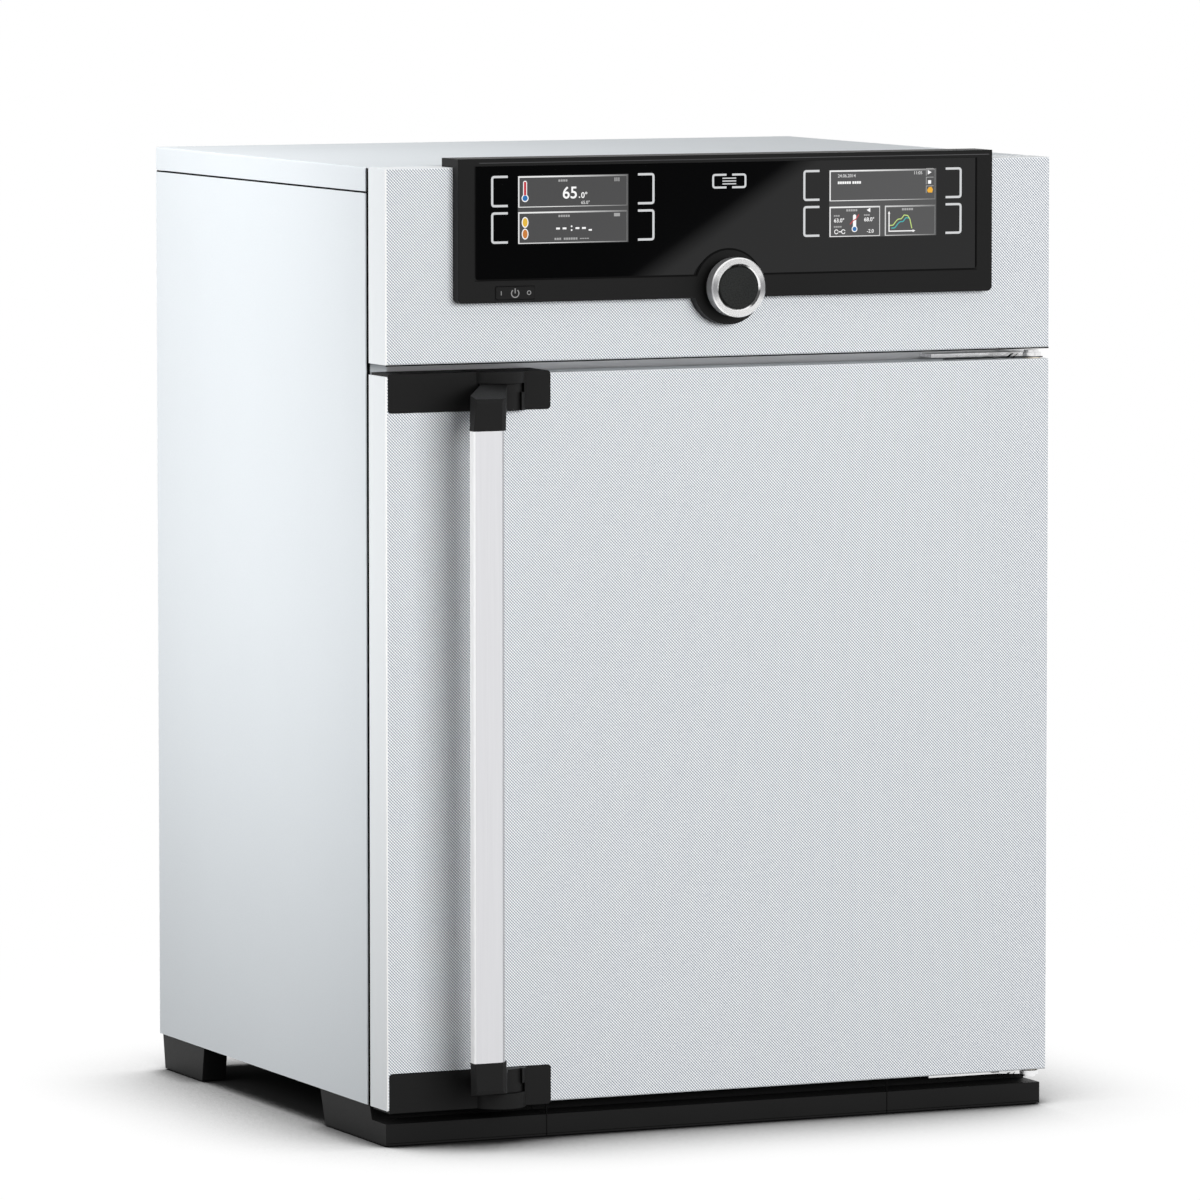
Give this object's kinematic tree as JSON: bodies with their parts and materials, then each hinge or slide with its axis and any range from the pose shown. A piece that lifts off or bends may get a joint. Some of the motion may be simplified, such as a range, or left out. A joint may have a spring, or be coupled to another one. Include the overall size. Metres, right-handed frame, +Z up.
{
  "type": "paraffin oven",
  "caption": "Bench-top laboratory oven that melts and holds paraffin in a heated steel chamber behind a full-width hinged door, with a control panel above and low feet.",
  "frame": {"origin": "middle of the bounding box's underside, on the floor under the foot pads", "axes": "+Z up, the door and control panel face -Y, +X to the right of a person facing the door"},
  "size_m": [0.585, 0.57, 0.784],
  "materials": {
    "textured_steel": "fine textured light grey steel sheet",
    "patterned_steel": "stainless sheet with a fine rolled diagonal pattern",
    "zinc_steel": "zinc-coated sheet, matt",
    "stainless": "brushed stainless steel",
    "shelf_wire": "electropolished stainless wire",
    "heating_rod": "dull oxidised sheath",
    "mineral_wool": "loose yellowish mineral wool",
    "black_moulding": "fine-grained black moulding",
    "black_gloss": "smooth black plastic",
    "dark_glass": "black-printed glass",
    "display": "grey screen",
    "satin_aluminium": "satin anodised",
    "bright_metal": "turned and polished",
    "plated_steel": "bright zinc plate",
    "bronze": "sintered bronze",
    "seal_silicone": "dark silicone",
    "pad_rubber": "matt rubber",
    "socket_plastic": "black moulding",
    "circuit_board": "green solder mask",
    "iron_core": "laminated core, dark"
  },
  "bodies": {
    "casing": {"base_plate": "zinc_steel", "chamber_back_wall": "stainless", "chamber_floor": "stainless", "chamber_heaters": "heating_rod", "chamber_insulation": "mineral_wool", "chamber_left_wall": "stainless", "chamber_right_wall": "stainless", "chamber_roof": "stainless", "cockpit_frame": "black_moulding", "cockpit_glass": "dark_glass", "connection_plate": "zinc_steel", "control_board": "circuit_board", "control_panel_shell": "patterned_steel", "display_modules": "display", "drip_tray": "stainless", "electronics_tray": "zinc_steel", "encoder": "socket_plastic", "flap_motor": "socket_plastic", "foot_pads": "pad_rubber", "front_frame": "stainless", "front_left_foot": "black_moulding", "front_plinth": "black_moulding", "front_right_foot": "black_moulding", "hinge_pins": "plated_steel", "left_side_panel": "textured_steel", "lower_hinge_arm": "plated_steel", "lower_shelf": "shelf_wire", "lower_strike": "plated_steel", "network_socket": "socket_plastic", "power_board": "circuit_board", "power_inlet": "socket_plastic", "rear_left_foot": "black_moulding", "rear_panel": "zinc_steel", "rear_panel_screws": "plated_steel", "rear_right_foot": "black_moulding", "right_side_panel": "textured_steel", "temperature_sensors": "stainless", "top_cover": "textured_steel", "transformer": "iron_core", "upper_hinge_arm": "plated_steel", "upper_shelf": "shelf_wire", "upper_strike": "plated_steel", "vent_tube": "stainless"},
    "door": {"door_outer_panel": "patterned_steel", "door_inner_panel": "stainless", "door_insulation": "mineral_wool", "door_gasket": "seal_silicone", "upper_latch_housing": "black_moulding", "lower_latch_housing": "black_moulding", "latch_pins": "plated_steel", "door_hinge_plates": "plated_steel", "hinge_bushes": "bronze"},
    "handle": {"handle_bar": "satin_aluminium", "upper_handle_arm": "black_moulding", "lower_handle_arm": "black_moulding", "latch_hooks": "plated_steel"},
    "turn_ring": {"turn_ring": "bright_metal"},
    "confirm_button": {"confirm_button": "black_gloss"},
    "main_switch": {"main_switch_button": "black_moulding"},
    "vent_flap": {"vent_flap": "stainless"}
  },
  "joints": [
    {"name": "door_swing", "type": "hinge", "parent": "casing", "child": "door", "pos_m": [0.2825, -0.217, 0.32], "axis": [0, 0, 1], "range_deg": [0, 170]},
    {"name": "handle_turn", "type": "hinge", "parent": "door", "child": "handle", "pos_m": [-0.1941, -0.222, 0.32], "axis": [0, 0, 1], "range_deg": [0, 35]},
    {"name": "ring_spin", "type": "hinge", "parent": "casing", "child": "turn_ring", "pos_m": [0, -0.252, 0.6788], "axis": [0, -1, 0], "continuous": true},
    {"name": "confirm_press", "type": "slide", "parent": "casing", "child": "confirm_button", "axis": [0, 1, 0], "range_m": [0, 0.0015], "stiffness_N_per_m": 600},
    {"name": "switch_press", "type": "slide", "parent": "casing", "child": "main_switch", "axis": [0, 1, 0], "range_m": [0, 0.0015], "stiffness_N_per_m": 600},
    {"name": "flap_turn", "type": "hinge", "parent": "casing", "child": "vent_flap", "pos_m": [0.06, 0.236, 0.4116], "axis": [0, 0, 1], "range_deg": [0, 90]}
  ]
}
